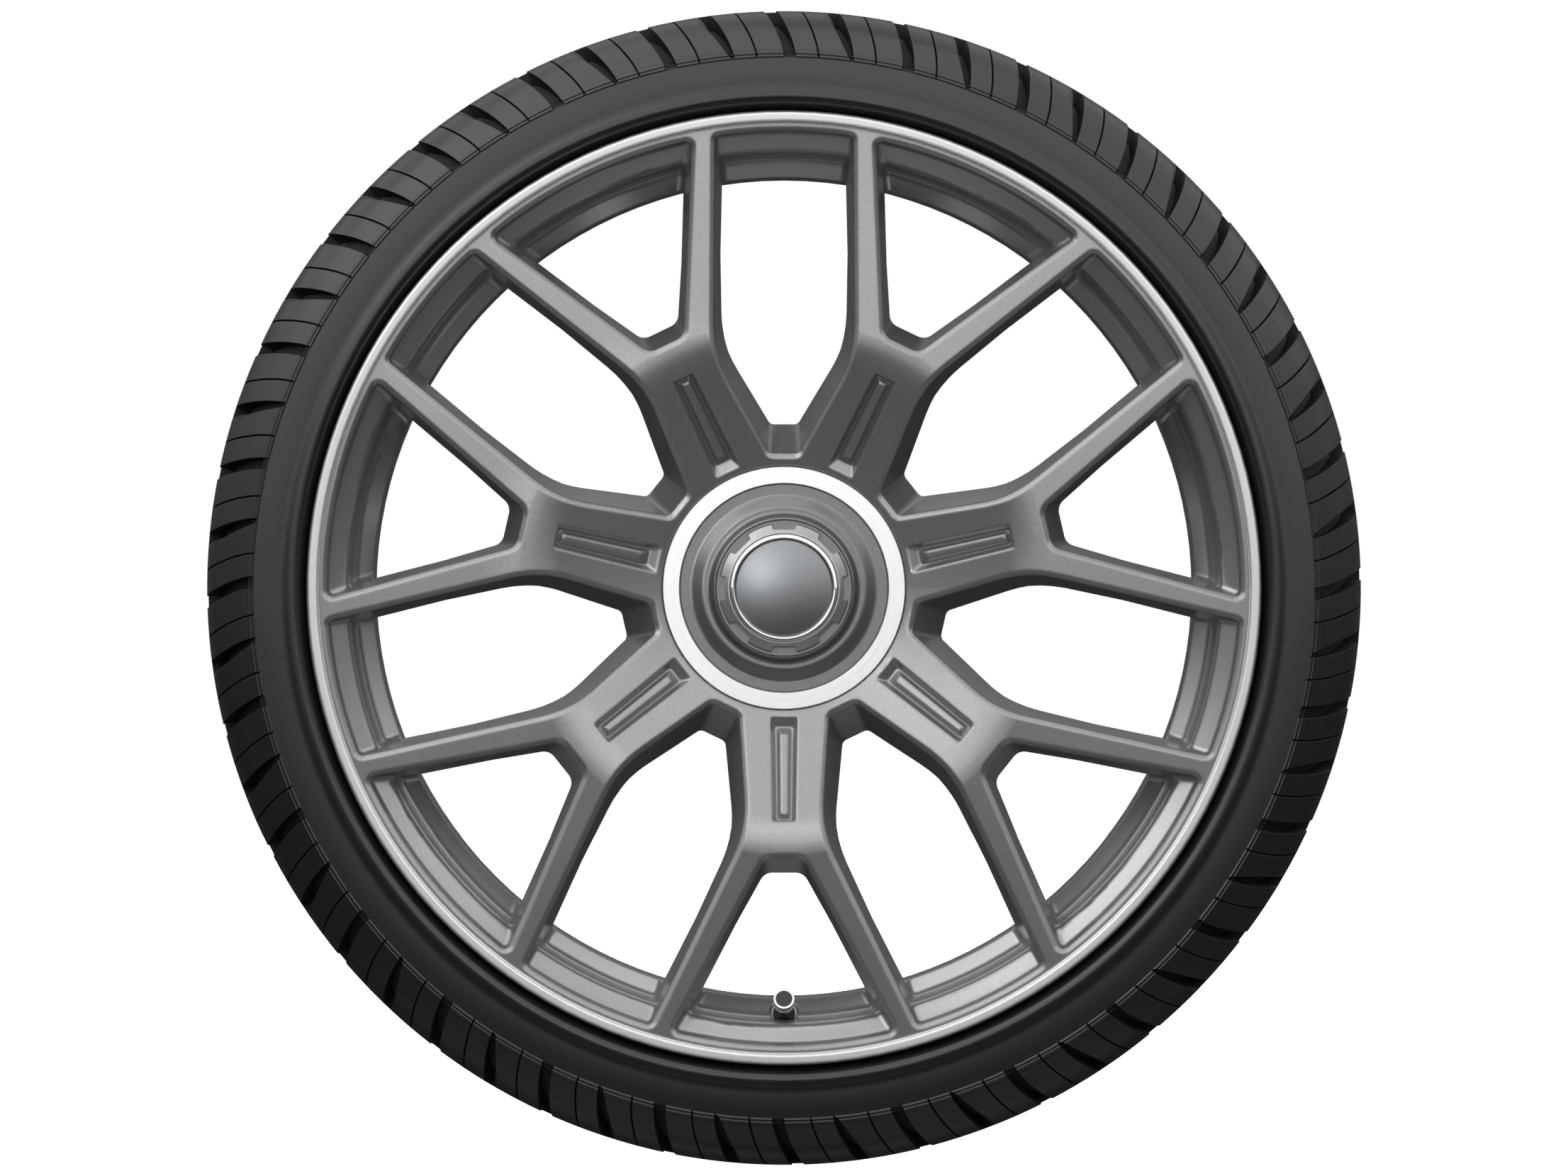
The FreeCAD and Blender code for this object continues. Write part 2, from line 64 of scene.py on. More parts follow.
# Where the wheel's finish changes: bare metal beyond the paint's edge on the side of the face. Over the barrel
# the paint's colour is lightened gradually, as painted light where the lamps reach little
PAINT_EDGE_R = 279.3 * MM
FACE_SIDE_Y = -100 * MM
BARREL_START_R = 205 * MM
BARREL_FULL_R = 240 * MM
BARREL_START_Y = -127 * MM
BARREL_FULL_Y = -98 * MM
# lighter tone painted over the barrel as painted light
BARREL_PAINTED_LIGHT = "#a6a7a8"
LIP_DARK = "#c2c2c2"
LIP_LIGHT = "#e0e0e0"
LIP_ROUGHNESS = 0.27
PAINT_METALLIC = 0.74

# CAD nodes under paint: finish, dark and light tone, lowest and highest roughness, rounding of edges in mm
PAINTED_NODES = {
    "forged_wheel": ("satin_paint_on_forging", "#808182", "#969798", 0.22, 0.27, 2.4),
    # the dish and the nut are one paint; the dish's tones are painted darker than the nut's, as painted shade
    "hub_cap_dish": ("satin_paint_on_cap_painted_darker", "#666768", "#777879", 0.30, 0.36, 0.7),
    # the nut's tones are painted lighter than the dish's, as painted light
    "hub_cap_nut": ("satin_paint_on_nut_painted_lighter", "#8d8e8f", "#a2a3a4", 0.28, 0.34, 0.5),
}

# CAD nodes of bare metal: finish, dark and light tone, roughness, size of marks and rounding of edges in mm
METAL_NODES = {
    "hub_cap_bezel": ("polished_chrome", "#e4e6e8", "#f2f3f4", 0.06, 20, 0.2),
    "hub_cap_wire": ("spring_steel", "#6c6e70", "#8b8d8f", 0.3, 1.5, 0.1),
    "valve_cap": ("nickel_plated_cap", "#b9bab9", "#d8d8d6", 0.22, 1.2, 0.15),
    "valve_stem": ("nickel_plated_stem", "#a9aaaa", "#c9c9c8", 0.26, 1.2, 0.15),
    "valve_nut": ("black_zinc_nut", "#2a2b2c", "#3a3b3c", 0.36, 1.0, 0.2),
    "valve_washer": ("black_zinc_washer", "#242526", "#333435", 0.4, 1.0, 0.2),
    "valve_core": ("turned_brass", "#a98442", "#c7a45c", 0.24, 0.8, 0.1),
    "valve_core_pin": ("turned_brass_pin", "#a98442", "#c7a45c", 0.24, 0.8, 0.1),
    "pressure_sensor_screw": ("zinc_plated_screw", "#8e9090", "#b4b5b4", 0.3, 1.0, 0.15),
}

# CAD nodes of plastic or solid rubber: finish, dark and light tone, roughness, size of grain in mm
PLASTIC_NODES = {
    "valve_cap_inlay": ("black_acetal", "#101011", "#18181a", 0.4, 0.5),
    "valve_cap_seal": ("sealing_rubber", "#151515", "#202020", 0.6, 0.6),
    "valve_grommet": ("grommet_rubber", "#171717", "#242424", 0.6, 0.8),
    "pressure_sensor": ("glass_filled_nylon", "#18191a", "#27282a", 0.5, 0.9),
}

# Tyre section
RIM_HALF = 120.65 * MM
FLANGE_R = 286.6 * MM
SEAT_R = 269.4 * MM
BEAD_GAP = 0.3 * MM
TYRE_HALF = 138.0 * MM
TREAD_R = 349.5 * MM
TREAD_WALL = 15 * MM
RING_GROOVES = (21 * MM, 64 * MM)
RING_GROOVE_HALF = 4.6 * MM

# Sidewall with its rib, thin ridges and shoulder: up from the flange, in from the widest point, rounding, in mm
SIDEWALL = (
    (3.6, 5, 0), (6.2, 0.6, 2.5), (10.6, 0.8, 1.8), (14.2, 2.6, 1.8), (23, 2.7, 5),
    (31.6, 3.9, 0), (32.5, 3.2, 0.4), (33.7, 4.7, 0.3), (34.5, 4.2, 0.4), (36.2, 6.0, 0.3),
    (37, 6.2, 0), (38, 7.0, 0), (45, 11.4, 5),
)

# A rounded corner of the section has few steps if it is finer than a millimetre
FINE_STEPS = 2
ROUND_STEPS = 5

# Tread pattern in degrees round the tyre, one pitch of it is repeated
PITCHES = 28
PITCH = 360 / PITCHES
OPEN_GROOVE = 1.3
LEAF_GROOVE = 0.12
LEAF_FLARE = 1.6
FLARE_POWER = 0.5
SIPE = 0.2
SWEEP = 2.1
SWEEP_POWER = 1.5
FIRST_BLOCK = 2.35
THIRD_BLOCK = 2.3
FOURTH_BLOCK = 2.8

# Grooves of the shoulder and crown
SHOULDER_FOOT_R = 318.2 * MM
GROOVE_DEPTH = 9.5 * MM
GROOVE_WALL = 0.4 * MM
FINE_CUT_DEPTH = GROOVE_DEPTH / 2
FINE_CUT_WALL = 0.1 * MM
GROOVE_END = 76 * MM
FOOT_DEPTH_SHARE = 0.12
DEPTH_POWER = 0.5
SKIN_MARGIN = 2 * MM
INNER_SKIN_IN = 16 * MM
WELD = 0.02 * MM

# What becomes of a face of the tyre's skin
SKIN, GROOVE, FINE_CUT = 0, 1, 2

# Which of the tyre's two rubbers a sunk face takes: the groove rubber is duller, and painted darker as shade in
# the grooves
IN_GROOVE = 1

# Badge
BADGE_RISE = 3 * MM
BADGE_ARC_STEPS = 24
BADGE_ROUND_STEPS = 96
BADGE_WELD = 0.01 * MM

# Edges that turn by more than this stay sharp on a new piece
SHARP_ANGLE = math.radians(32)

# Light from the studio tent by elevation in degrees
TENT = (
    (-90, 0.06), (-72, 0.35), (-55, 0.3), (-40, 0.12), (-6, 0.12), (5, 0.4), (18, 0.8),
    (30, 1.8), (45, 1.4), (64, 1.4), (75, 0.8), (90, 0.25),
)

# Share of that light left behind the object, where the tent is open, and where along Y it gets that low
OPEN_BACK_LIGHT = 0.25
OPEN_BACK_Y = 0.95

# Soft boxes: name, place, aim, width, height and power in watts
SOFT_BOXES = (
    ("front_soft_box", (0, -4.6, 1.07), (0, 0, 1.07), 6.4, 2.06, 55),
    ("top_soft_box", (-0.3, -0.5, 2.6), CENTRE, 2.4, 1.6, 12),
    ("left_soft_box", (-2.2, -2.0, 2.2), CENTRE, 2.4, 2.4, 26),
)

# Narrow lamp that gives the badge its soft spot
BADGE_LAMP_PLACE = (-0.85, -4.0, 0.56)
BADGE_LAMP_POWER = 700
BADGE_LAMP_CONE = math.radians(1.2)
BADGE_LAMP_BLEND = 0.5
BADGE_LAMP_SIZE = 0.12

# Floor
FLOOR_HALF = 6
FLOOR_BACK = 2
FLOOR_GAP = 0.5 * MM

# Camera: distance in metres, lens and sensor in millimetres
CAMERA_DISTANCE = 6.134
CAMERA_LENS = 229.66
CAMERA_SENSOR = 36


def rgb(code):
    """An sRGB hex colour as linear red, green, blue and alpha."""
    parts = [int(code[i:i + 2], 16) / 255 for i in (1, 3, 5)]
    return [c / 12.92 if c <= 0.04045 else ((c + 0.055) / 1.055) ** 2.4 for c in parts] + [1.0]


def add(tree, kind, inputs=None, **settings):
    """Adds one shader node, sets its properties, and fills or links its inputs."""
    node = tree.nodes.new("ShaderNode" + kind)
    for key, value in settings.items():
        setattr(node, key, value)
    for key, value in (inputs or {}).items():
        if isinstance(value, bpy.types.NodeSocket):
            tree.links.new(value, node.inputs[key])
        else:
            node.inputs[key].default_value = value
    return node


def start_material(name):
    """A new empty material, its node tree and the place of each point of the surface."""
    material = bpy.data.materials.new(name)
    material.use_nodes = True
    material.node_tree.nodes.clear()
    tree = material.node_tree
    return material, tree, add(tree, "TexCoord").outputs["Object"]


def end_material(tree, look, relief, strength, depth, rounding, samples=4):
    """Ends a material in one shader, with its relief raised and the edges of the piece rounded over."""
    edge = add(tree, "Bevel", {"Radius": rounding}, samples=samples)
    bump = add(tree, "Bump", {
        "Height": relief, "Strength": strength, "Distance": depth, "Normal": edge.outputs[0]})
    shader = add(tree, "BsdfPrincipled", {**look, "Normal": bump.outputs[0]})
    add(tree, "OutputMaterial", {"Surface": shader.outputs[0]})


def per_size(size):
    """Texture scale at which one feature of the pattern is this size."""
    return 1 / size


def wheel_radius(tree, place):
    """Distance from the wheel's axis at each point of the surface."""
    flat = add(tree, "VectorMath", {0: place, 1: (1, 0, 1)}, operation="MULTIPLY")
    return add(tree, "VectorMath", {0: flat.outputs[0]}, operation="LENGTH").outputs["Value"]


def barrel_and_lip(tree, place, colour, roughness, relief):
    """Adds painted light over the barrel, as a lighter tone, and the bare lip to the colour, roughness and
    relief of the paint.
    """
    radius = wheel_radius(tree, place)
    along = add(tree, "SeparateXYZ", {0: place}).outputs["Y"]
    far_out = add(tree, "MapRange", {0: radius, 1: BARREL_START_R, 2: BARREL_FULL_R})
    behind = add(tree, "MapRange", {0: along, 1: BARREL_START_Y, 2: BARREL_FULL_Y})
    barrel = add(tree, "Math", {0: far_out.outputs[0], 1: behind.outputs[0]}, operation="MULTIPLY")
    # painted light: the paint's colour is lightened towards this tone deeper in the barrel and further out
    painted = add(tree, "Mix", {0: barrel.outputs[0], 6: colour, 7: rgb(BARREL_PAINTED_LIGHT)}, data_type="RGBA")
    beyond = add(tree, "Math", {0: radius, 1: PAINT_EDGE_R}, operation="GREATER_THAN")
    in_front = add(tree, "Math", {0: along, 1: FACE_SIDE_Y}, operation="LESS_THAN")
    lip = add(tree, "Math", {0: beyond.outputs[0], 1: in_front.outputs[0]}, operation="MULTIPLY").outputs[0]
    # tool rings of 0.2 mm, drawn at 0.6 mm so that they show
    rings = add(tree, "TexNoise", {"W": radius, "Scale": per_size(0.6 * MM), "Detail": 1.0},
                noise_dimensions="1D")
    metal = add(tree, "Mix", {0: rings.outputs[0], 6: rgb(LIP_DARK), 7: rgb(LIP_LIGHT)}, data_type="RGBA")
    tone = add(tree, "Mix", {0: lip, 6: painted.outputs[2], 7: metal.outputs[2]}, data_type="RGBA")
    rough = add(tree, "Mix", {0: lip, 2: roughness, 3: LIP_ROUGHNESS})
    grain = add(tree, "Mix", {0: lip, 2: relief, 3: rings.outputs[0]})
    return tone.outputs[2], rough.outputs[0], grain.outputs[0]


def forged_aluminium_paint(name, dark, light, smooth, dull, rounding, turned_lip):
    """Satin grey metallic paint on forged aluminium. The fine flake glitters a little and the clear coat is
    matte, so the face shows broad soft reflections, and the paint pulls back from sharp edges and rounds
    them. Over the barrel the colour is lightened gradually as painted light. The lip is turned after painting:
    bare bright metal with fine rings from the tool."""
    material, tree, place = start_material(name)
    # real flake is about 0.05 mm, drawn at 0.9 mm so that it shows
    flake = add(tree, "TexNoise", {"Vector": place, "Scale": per_size(0.9 * MM), "Detail": 2.0})
    cloud = add(tree, "TexNoise", {"Vector": place, "Scale": per_size(60 * MM), "Detail": 3.0})
    speck = add(tree, "Mix", {0: flake.outputs[0], 6: rgb(dark), 7: rgb(light)}, data_type="RGBA")
    rough = add(tree, "MapRange", {0: cloud.outputs[0], 3: smooth, 4: dull})
    colour, roughness, relief = speck.outputs[2], rough.outputs[0], flake.outputs[0]
    if turned_lip:
        colour, roughness, relief = barrel_and_lip(tree, place, colour, roughness, relief)
    look = {"Base Color": colour, "Metallic": PAINT_METALLIC, "Roughness": roughness}
    end_material(tree, look, relief, strength=0.03, depth=0.1 * MM, rounding=rounding * MM, samples=6)
    return material


def bare_metal(name, dark, light, roughness, mark_size, rounding):
    """Plated or machined metal: a clear reflection, broken a little by tool marks and handling."""
    material, tree, place = start_material(name)
    # the finest marks are a few hundredths of a millimetre, drawn at the given size so that they show
    marks = add(tree, "TexNoise", {"Vector": place, "Scale": per_size(mark_size * MM), "Detail": 4.0})
    tone = add(tree, "Mix", {0: marks.outputs[0], 6: rgb(dark), 7: rgb(light)}, data_type="RGBA")
    rough = add(tree, "MapRange", {0: marks.outputs[0], 3: roughness * 0.8, 4: roughness * 1.2})
    look = {"Base Color": tone.outputs[2], "Metallic": 1.0, "Roughness": rough.outputs[0]}
    end_material(tree, look, marks.outputs[0], strength=0.05, depth=0.05 * MM, rounding=rounding * MM)
    return material


def turned_ring_metal(name):
    """Spun aluminium ring: rings round the wheel's axis stretch each highlight outwards."""
    material, tree, place = start_material(name)
    radius = wheel_radius(tree, place)
    # spinning marks of 0.1 mm, drawn at 0.4 mm so that they show
    rings = add(tree, "TexNoise", {"W": radius, "Scale": per_size(0.4 * MM), "Detail": 2.0},
                noise_dimensions="1D")
    tone = add(tree, "Mix", {0: rings.outputs[0], 6: rgb("#cacaca"), 7: rgb("#e8e8e8")}, data_type="RGBA")
    rough = add(tree, "MapRange", {0: rings.outputs[0], 3: 0.24, 4: 0.36})
    look = {"Base Color": tone.outputs[2], "Metallic": 1.0, "Roughness": rough.outputs[0]}
    end_material(tree, look, rings.outputs[0], strength=0.08, depth=0.05 * MM, rounding=0.3 * MM)
    return material


def moulded_plastic(name, dark, light, roughness, grain_size):
    """Moulded plastic or solid rubber: a dull skin with the faint grain of the mould."""
    material, tree, place = start_material(name)
    grain = add(tree, "TexNoise", {"Vector": place, "Scale": per_size(grain_size * MM), "Detail": 3.0})
    tone = add(tree, "Mix", {0: grain.outputs[0], 6: rgb(dark), 7: rgb(light)}, data_type="RGBA")
    rough = add(tree, "MapRange", {0: grain.outputs[0], 3: roughness * 0.85, 4: roughness * 1.15})
    look = {"Base Color": tone.outputs[2], "Roughness": rough.outputs[0], "IOR": 1.5}
    end_material(tree, look, grain.outputs[0], strength=0.1, depth=0.05 * MM, rounding=0.25 * MM)
    return material


def tyre_rubber(name, dark, light, smooth, dull, index):
    """the mould's turning marks on
    the sidewall and a slightly greyer bloom in patches. The grooves are duller than the skin, and their
    rubber is painted darker, as shade in the recesses."""
    material, tree, place = start_material(name)
    radius = wheel_radius(tree, place)
    skin = add(tree, "TexNoise", {"Vector": place, "Scale": per_size(1.4 * MM), "Detail": 4.0})
    bloom = add(tree, "TexNoise", {"Vector": place, "Scale": per_size(45 * MM), "Detail": 3.0})
    # turning marks of 0.2 mm, drawn at 0.8 mm so that they show
    rings = add(tree, "TexNoise", {"W": radius, "Scale": per_size(0.8 * MM), "Detail": 1.0},
                noise_dimensions="1D")
    tone = add(tree, "Mix", {0: bloom.outputs[0], 6: rgb(dark), 7: rgb(light)}, data_type="RGBA")
    rough = add(tree, "MapRange", {0: skin.outputs[0], 3: smooth, 4: dull})
    relief = add(tree, "Math", {0: skin.outputs[0], 1: rings.outputs[0]}, operation="ADD")
    look = {"Base Color": tone.outputs[2], "Roughness": rough.outputs[0], "IOR": index}
    end_material(tree, look, relief.outputs[0], strength=0.14, depth=0.15 * MM, rounding=0.5 * MM)
    return material


def finish_piece(name, bm, materials, body):
    """Turns a bmesh into a piece of the object that rides on a body."""
    bmesh.ops.recalc_face_normals(bm, faces=bm.faces)
    mesh = bpy.data.meshes.new(name)
    bm.to_mesh(mesh)
    bm.free()
    mesh.shade_smooth()
    mesh.set_sharp_from_angle(angle=SHARP_ANGLE)
    for material in materials:
        mesh.materials.append(material)
    piece = bpy.data.objects.new(name, mesh)
    bpy.context.scene.collection.objects.link(piece)
    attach(piece, body)
    return piece


def section_chain(bm, corners):
    """Closed chain of edges through (radius, outboard, rounding) corners, on the plane above the axis."""
    verts = [bm.verts.new((0, -out, radius)) for radius, out, rounding in corners]
    for i, vert in enumerate(verts):
        bm.edges.new((verts[i - 1], vert))
    for vert, (radius, out, rounding) in zip(verts, corners):
        if rounding:
            steps = FINE_STEPS if rounding < MM else ROUND_STEPS
            bmesh.ops.bevel(bm, geom=[vert], offset=rounding, offset_type="OFFSET", affect="VERTICES",
                            segments=steps, profile=0.5, material=-1)
    return list(bm.edges)


def crown_share(vert):
    """How far out a point is, from the foot of the shoulder, 0, to the crown, 1."""
    radius = math.hypot(vert.co.x, vert.co.z)
    share = (radius - SHOULDER_FOOT_R) / (TREAD_R - SHOULDER_FOOT_R)
    return min(max(share, 0), 1)


def turn_by_share(bm, verts, degrees, power):
    """Turns points round the axis, further the nearer they are to the crown."""
    for vert in verts:
        angle = math.radians(degrees) * crown_share(vert) ** power
        bmesh.ops.rotate(bm, cent=CENTRE, matrix=Matrix.Rotation(angle, 3, "Y"), verts=[vert])


def swept(bm, edges, degrees, steps, flare):
    """Spins a chain round the axis and gives the new faces and the chain at the far end, which may flare."""
    known = set(bm.faces)
    made = bmesh.ops.spin(bm, geom=edges, cent=CENTRE, axis=AXIS, angle=math.radians(degrees), steps=steps)
    faces = [face for face in bm.faces if face not in known]
    verts = [part for part in made["geom_last"] if isinstance(part, bmesh.types.BMVert)]
    turn_by_share(bm, verts, flare, FLARE_POWER)
    return faces, [part for part in made["geom_last"] if isinstance(part, bmesh.types.BMEdge)]


def outside_corners():
    """Corners of the front half of the tyre's outside, from the bead to the middle of the tread."""
    bead = [
        (SEAT_R - 1.6 * MM, 102.2 * MM, 0),
        (SEAT_R, 116.8 * MM, 0),
        (SEAT_R + 3.5 * MM, RIM_HALF - BEAD_GAP, 0),
        (FLANGE_R - 3.7 * MM, RIM_HALF - BEAD_GAP, 0),
        (FLANGE_R + 1.2 * MM, RIM_HALF + 5.5 * MM, 0),
    ]
    side = [(FLANGE_R + up * MM, TYRE_HALF - back * MM, rounding * MM) for up, back, rounding in SIDEWALL]
    crown = [
        (TREAD_R - 5.5 * MM, TYRE_HALF - 21 * MM, 10 * MM),
        (TREAD_R, TYRE_HALF - 54 * MM, 13 * MM),
    ]
    for groove in reversed(RING_GROOVES):
        crown.append((TREAD_R, groove + RING_GROOVE_HALF, 0))
        crown.append((TREAD_R, groove - RING_GROOVE_HALF, 0))
    return bead + side + crown


def inside_corners():
    """Corners of the front half of the tyre's air space, from the bead to the crown."""
    return [
        (SEAT_R + 9 * MM, 104 * MM, 0),
        (FLANGE_R + 2 * MM, TYRE_HALF - 18 * MM, 4 * MM),
        (FLANGE_R + 20 * MM, TYRE_HALF - 10 * MM, 5 * MM),
        (TREAD_R - TREAD_WALL, TYRE_HALF - 42 * MM, 8 * MM),
    ]


def sunk_kind(face, column):
    """Whether a face of the tyre's skin becomes the floor of a groove, of a fine cut, or of neither."""
    middle = face.calc_center_median()
    radius = math.hypot(middle.x, middle.z)
    out = abs(middle.y)
    if radius > TREAD_R - SKIN_MARGIN and any(abs(out - at) < RING_GROOVE_HALF for at in RING_GROOVES):
        return GROOVE
    inner_skin = radius < TREAD_R - TREAD_WALL + SKIN_MARGIN and out < TYRE_HALF - INNER_SKIN_IN
    if inner_skin or radius < SHOULDER_FOOT_R or out < RING_GROOVES[1]:
        return SKIN
    if column == "open" or column == "leaf" and out > GROOVE_END:
        return GROOVE
    if column == "sipe" and out > GROOVE_END:
        return FINE_CUT
    return SKIN


def sink(bm, faces, wall, depth):
    """Sinks faces below the skin, less deep near the foot of the shoulder."""
    walls = bmesh.ops.inset_region(bm, faces=faces, thickness=wall, depth=0, use_even_offset=True)["faces"]
    for face in faces + walls:
        face.material_index = IN_GROOVE
    floor = {vert for face in faces for vert in face.verts}
    bm.normal_update()
    moves = []
    for vert in floor:
        share = FOOT_DEPTH_SHARE + (1 - FOOT_DEPTH_SHARE) * crown_share(vert) ** DEPTH_POWER
        moves.append((vert, vert.normal * -depth * share))
    for vert, move in moves:
        vert.co += move


def make_tyre():
    """One tread pitch is spun in columns, repeated round the axis, and the grooves are sunk into it."""
    bm = bmesh.new()
    outside, inside = outside_corners(), inside_corners()
    mirror_outside = [(radius, -out, rounding) for radius, out, rounding in reversed(outside)]
    mirror_inside = [(radius, -out, rounding) for radius, out, rounding in inside]
    edges = section_chain(bm, outside + mirror_outside + mirror_inside + inside[::-1])
    turn_by_share(bm, bm.verts, -SWEEP, SWEEP_POWER)
    cuts = OPEN_GROOVE + LEAF_GROOVE + 2 * SIPE
    second_block = PITCH - cuts - FIRST_BLOCK - THIRD_BLOCK - FOURTH_BLOCK
    # kind of column, degrees, steps and flare of its far end
    columns = [
        ("open", OPEN_GROOVE, 1, 0),
        ("block", FIRST_BLOCK, 2, 0),
        ("sipe", SIPE, 1, 0),
        ("block", second_block, 3, -LEAF_FLARE),
        ("leaf", LEAF_GROOVE, 1, LEAF_FLARE),
        ("block", THIRD_BLOCK, 2, 0),
        ("sipe", SIPE, 1, 0),
        ("block", FOURTH_BLOCK, 2, 0),
    ]
    cut = bm.faces.layers.int.new("cut")
    for column, degrees, steps, flare in columns:
        faces, edges = swept(bm, edges, degrees, steps, flare)
        for face in faces:
            face[cut] = sunk_kind(face, column)
    bmesh.ops.spin(bm, geom=bm.verts[:] + bm.edges[:] + bm.faces[:], cent=CENTRE, axis=AXIS,
                   angle=math.radians(360 - PITCH), steps=PITCHES - 1, use_duplicate=True)
    bmesh.ops.remove_doubles(bm, verts=bm.verts, dist=WELD)
    bmesh.ops.recalc_face_normals(bm, faces=bm.faces)
    sink(bm, [face for face in bm.faces if face[cut] == GROOVE], GROOVE_WALL, GROOVE_DEPTH)
    sink(bm, [face for face in bm.faces if face[cut] == FINE_CUT], FINE_CUT_WALL, FINE_CUT_DEPTH)
    rubbers = [
        tyre_rubber("moulded_rubber", "#0c0c0d", "#131314", 0.30, 0.38, 1.55),
        # darker tones here are painted shade on the groove floors and walls; the higher roughness is the
        # rubber's own
        tyre_rubber("groove_rubber_painted_darker", "#080808", "#0d0d0d", 0.6, 0.7, 1.4),
    ]
    piece = finish_piece("tyre_moulding", bm, rubbers, "wheel")
    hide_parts("tyre")


def make_badge():
    """Domed badge with a plain face: an arc spun from the pole, spun again round the axis, and closed behind."""
    low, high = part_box("hub_cap_badge")
    edge_r = high.x
    ball = (edge_r ** 2 + BADGE_RISE ** 2) / (2 * BADGE_RISE)
    bm = bmesh.new()
    pole = bm.verts.new((0, low.y, 0))
    bmesh.ops.spin(bm, geom=[pole], cent=(0, low.y + ball, 0), axis=(1, 0, 0),
                   angle=math.asin(edge_r / ball), steps=BADGE_ARC_STEPS)
    bmesh.ops.spin(bm, geom=bm.verts[:] + bm.edges[:], cent=CENTRE, axis=AXIS, angle=math.tau,
                   steps=BADGE_ROUND_STEPS, use_merge=True)
    bmesh.ops.remove_doubles(bm, verts=bm.verts, dist=BADGE_WELD)
    rim = [edge for edge in bm.edges if edge.is_boundary]
    wall = bmesh.ops.extrude_edge_only(bm, edges=rim)["geom"]
    foot = [part for part in wall if isinstance(part, bmesh.types.BMVert)]
    bmesh.ops.translate(bm, vec=(0, high.y - low.y - BADGE_RISE, 0), verts=foot)
    bmesh.ops.holes_fill(bm, edges=[edge for edge in bm.edges if edge.is_boundary])
    finish = bare_metal("satin_silver_badge", "#6f7173", "#838587", 0.36, 0.8, 0.1)
    piece = finish_piece("badge_dome", bm, [finish], "hub_cap")
    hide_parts("hub_cap_badge")


def dress_cad_nodes():
    """Gives each CAD node the finish of the real piece."""
    finishes = {"hub_cap_trim": turned_ring_metal("spun_aluminium")}
    for node, values in PAINTED_NODES.items():
        finishes[node] = forged_aluminium_paint(*values, turned_lip=node == "forged_wheel")
    for node, values in METAL_NODES.items():
        finishes[node] = bare_metal(*values)
    for node, values in PLASTIC_NODES.items():
        finishes[node] = moulded_plastic(*values)
    for node, material in finishes.items():
        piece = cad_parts[node]
        piece.data.materials.clear()
        piece.data.materials.append(material)


def make_tent():
    """White surroundings for the eye, and a tent that is bright above and dark below for the object."""
    world = bpy.data.worlds.new("studio_tent")
    bpy.context.scene.world = world
    world.use_nodes = True
    tree = world.node_tree
    tree.nodes.clear()
    aim = add(tree, "SeparateXYZ", {0: add(tree, "TexCoord").outputs["Generated"]})
    level = add(tree, "MapRange", {0: aim.outputs["Z"], 1: -1.0, 2: 1.0})
    tent = add(tree, "ValToRGB", {0: level.outputs[0]})
    stops = tent.color_ramp.elements
    stops[0].color = (TENT[0][1],) * 3 + (1,)
    stops[1].color = (TENT[-1][1],) * 3 + (1,)
    for elevation, light in TENT[1:-1]:
        stop = stops.new((math.sin(math.radians(elevation)) + 1) / 2)
        stop.color = (light,) * 3 + (1,)
    open_back = add(tree, "MapRange", {0: aim.outputs["Y"], 1: 0.0, 2: OPEN_BACK_Y, 3: 1.0, 4: OPEN_BACK_LIGHT})
    lit = add(tree, "Mix", {0: 1.0, 6: tent.outputs[0], 7: open_back.outputs[0]}, data_type="RGBA",
              blend_type="MULTIPLY")
    seen = add(tree, "LightPath").outputs["Is Camera Ray"]
    shown = add(tree, "Mix", {0: seen, 6: lit.outputs[2], 7: rgb("#ffffff")}, data_type="RGBA")
    back = add(tree, "Background", {"Color": shown.outputs[2]})
    add(tree, "OutputWorld", {"Surface": back.outputs[0]})


def place_lamp(lamp, place, target):
    """Puts a lamp at place, hidden from the camera, and aims it at target."""
    holder = bpy.data.objects.new(lamp.name, lamp)
    holder.location = place
    holder.rotation_mode = "QUATERNION"
    holder.rotation_quaternion = (Vector(target) - Vector(place)).to_track_quat("-Z", "Y")
    holder.visible_camera = False
    bpy.context.scene.collection.objects.link(holder)


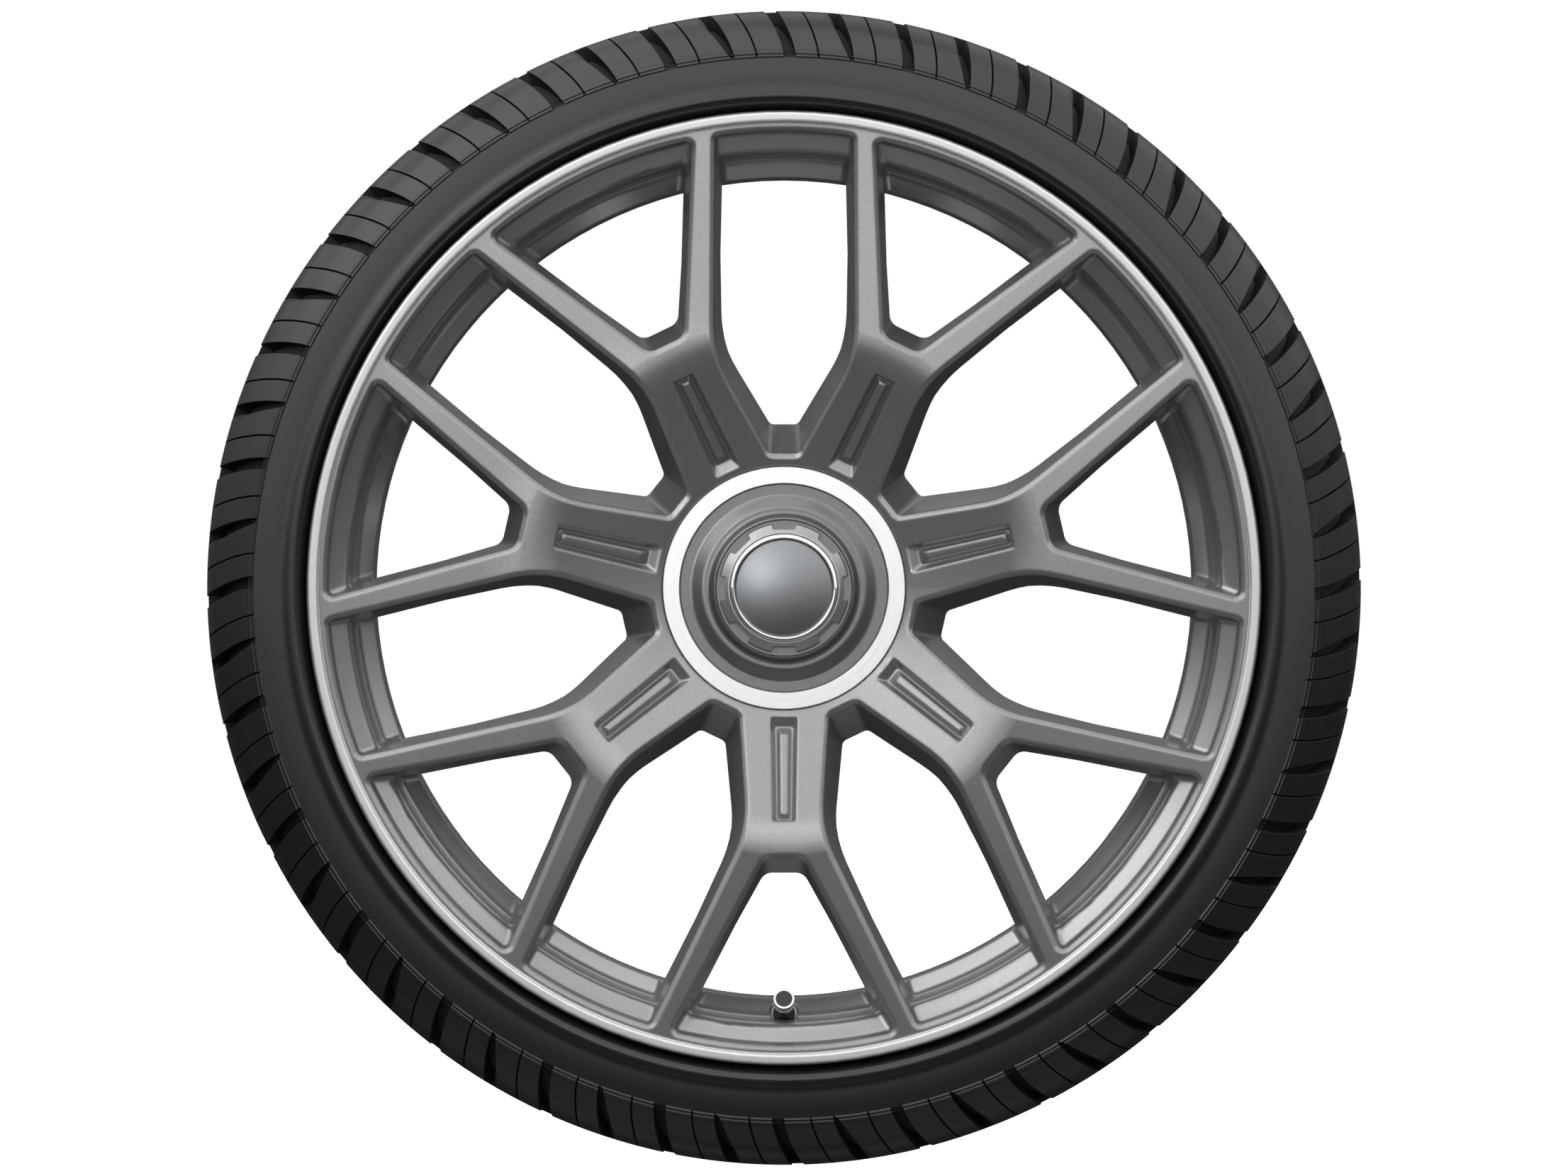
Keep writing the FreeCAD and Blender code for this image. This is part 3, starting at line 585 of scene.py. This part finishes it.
def make_lamps():
    """Soft boxes for the wheel, and a narrow lamp for the badge."""
    for name, place, target, width, height, power in SOFT_BOXES:
        box = bpy.data.lights.new(name, "AREA")
        box.shape = "RECTANGLE"
        box.size = width
        box.size_y = height
        box.energy = power
        place_lamp(box, place, target)
    snoot = bpy.data.lights.new("badge_lamp", "SPOT")
    snoot.energy = BADGE_LAMP_POWER
    snoot.spot_size = BADGE_LAMP_CONE
    snoot.spot_blend = BADGE_LAMP_BLEND
    snoot.shadow_soft_size = BADGE_LAMP_SIZE
    place_lamp(snoot, BADGE_LAMP_PLACE, CENTRE)


def make_floor():
    """Pale studio floor just under the tyre. It shows to the eye, and the object doesn't mirror it."""
    mesh = bpy.data.meshes.new("pale_floor")
    bm = bmesh.new()
    bmesh.ops.create_grid(bm, x_segments=1, y_segments=1, size=FLOOR_HALF)
    bmesh.ops.translate(bm, vec=(0, FLOOR_BACK, cad_box[0].z - FLOOR_GAP), verts=bm.verts)
    bm.to_mesh(mesh)
    bm.free()
    material, tree, place = start_material("pale_floor")
    shade = add(tree, "TexNoise", {"Vector": place, "Scale": per_size(400 * MM)})
    tone = add(tree, "Mix", {0: shade.outputs[0], 6: rgb("#f4f4f4"), 7: rgb("#ffffff")}, data_type="RGBA")
    shader = add(tree, "BsdfPrincipled", {
        "Base Color": tone.outputs[2], "Roughness": 0.9, "Emission Color": rgb("#ffffff"),
        "Emission Strength": 1.0})
    add(tree, "OutputMaterial", {"Surface": shader.outputs[0]})
    mesh.materials.append(material)
    floor = bpy.data.objects.new("pale_floor", mesh)
    floor.visible_glossy = False
    floor.visible_diffuse = False
    bpy.context.scene.collection.objects.link(floor)


def make_camera():
    """Looks straight at the wheel's face from six metres."""
    lens = bpy.data.cameras.new("camera")
    lens.sensor_width = CAMERA_SENSOR
    lens.lens = CAMERA_LENS
    camera = bpy.data.objects.new("camera", lens)
    camera.location = (0, -CAMERA_DISTANCE, 0)
    camera.rotation_euler = (math.radians(90), 0, 0)
    bpy.context.scene.collection.objects.link(camera)
    bpy.context.scene.camera = camera
    bpy.context.scene.view_settings.view_transform = "Standard"


dress_cad_nodes()
make_tyre()
make_badge()
make_tent()
make_lamps()
make_floor()
make_camera()
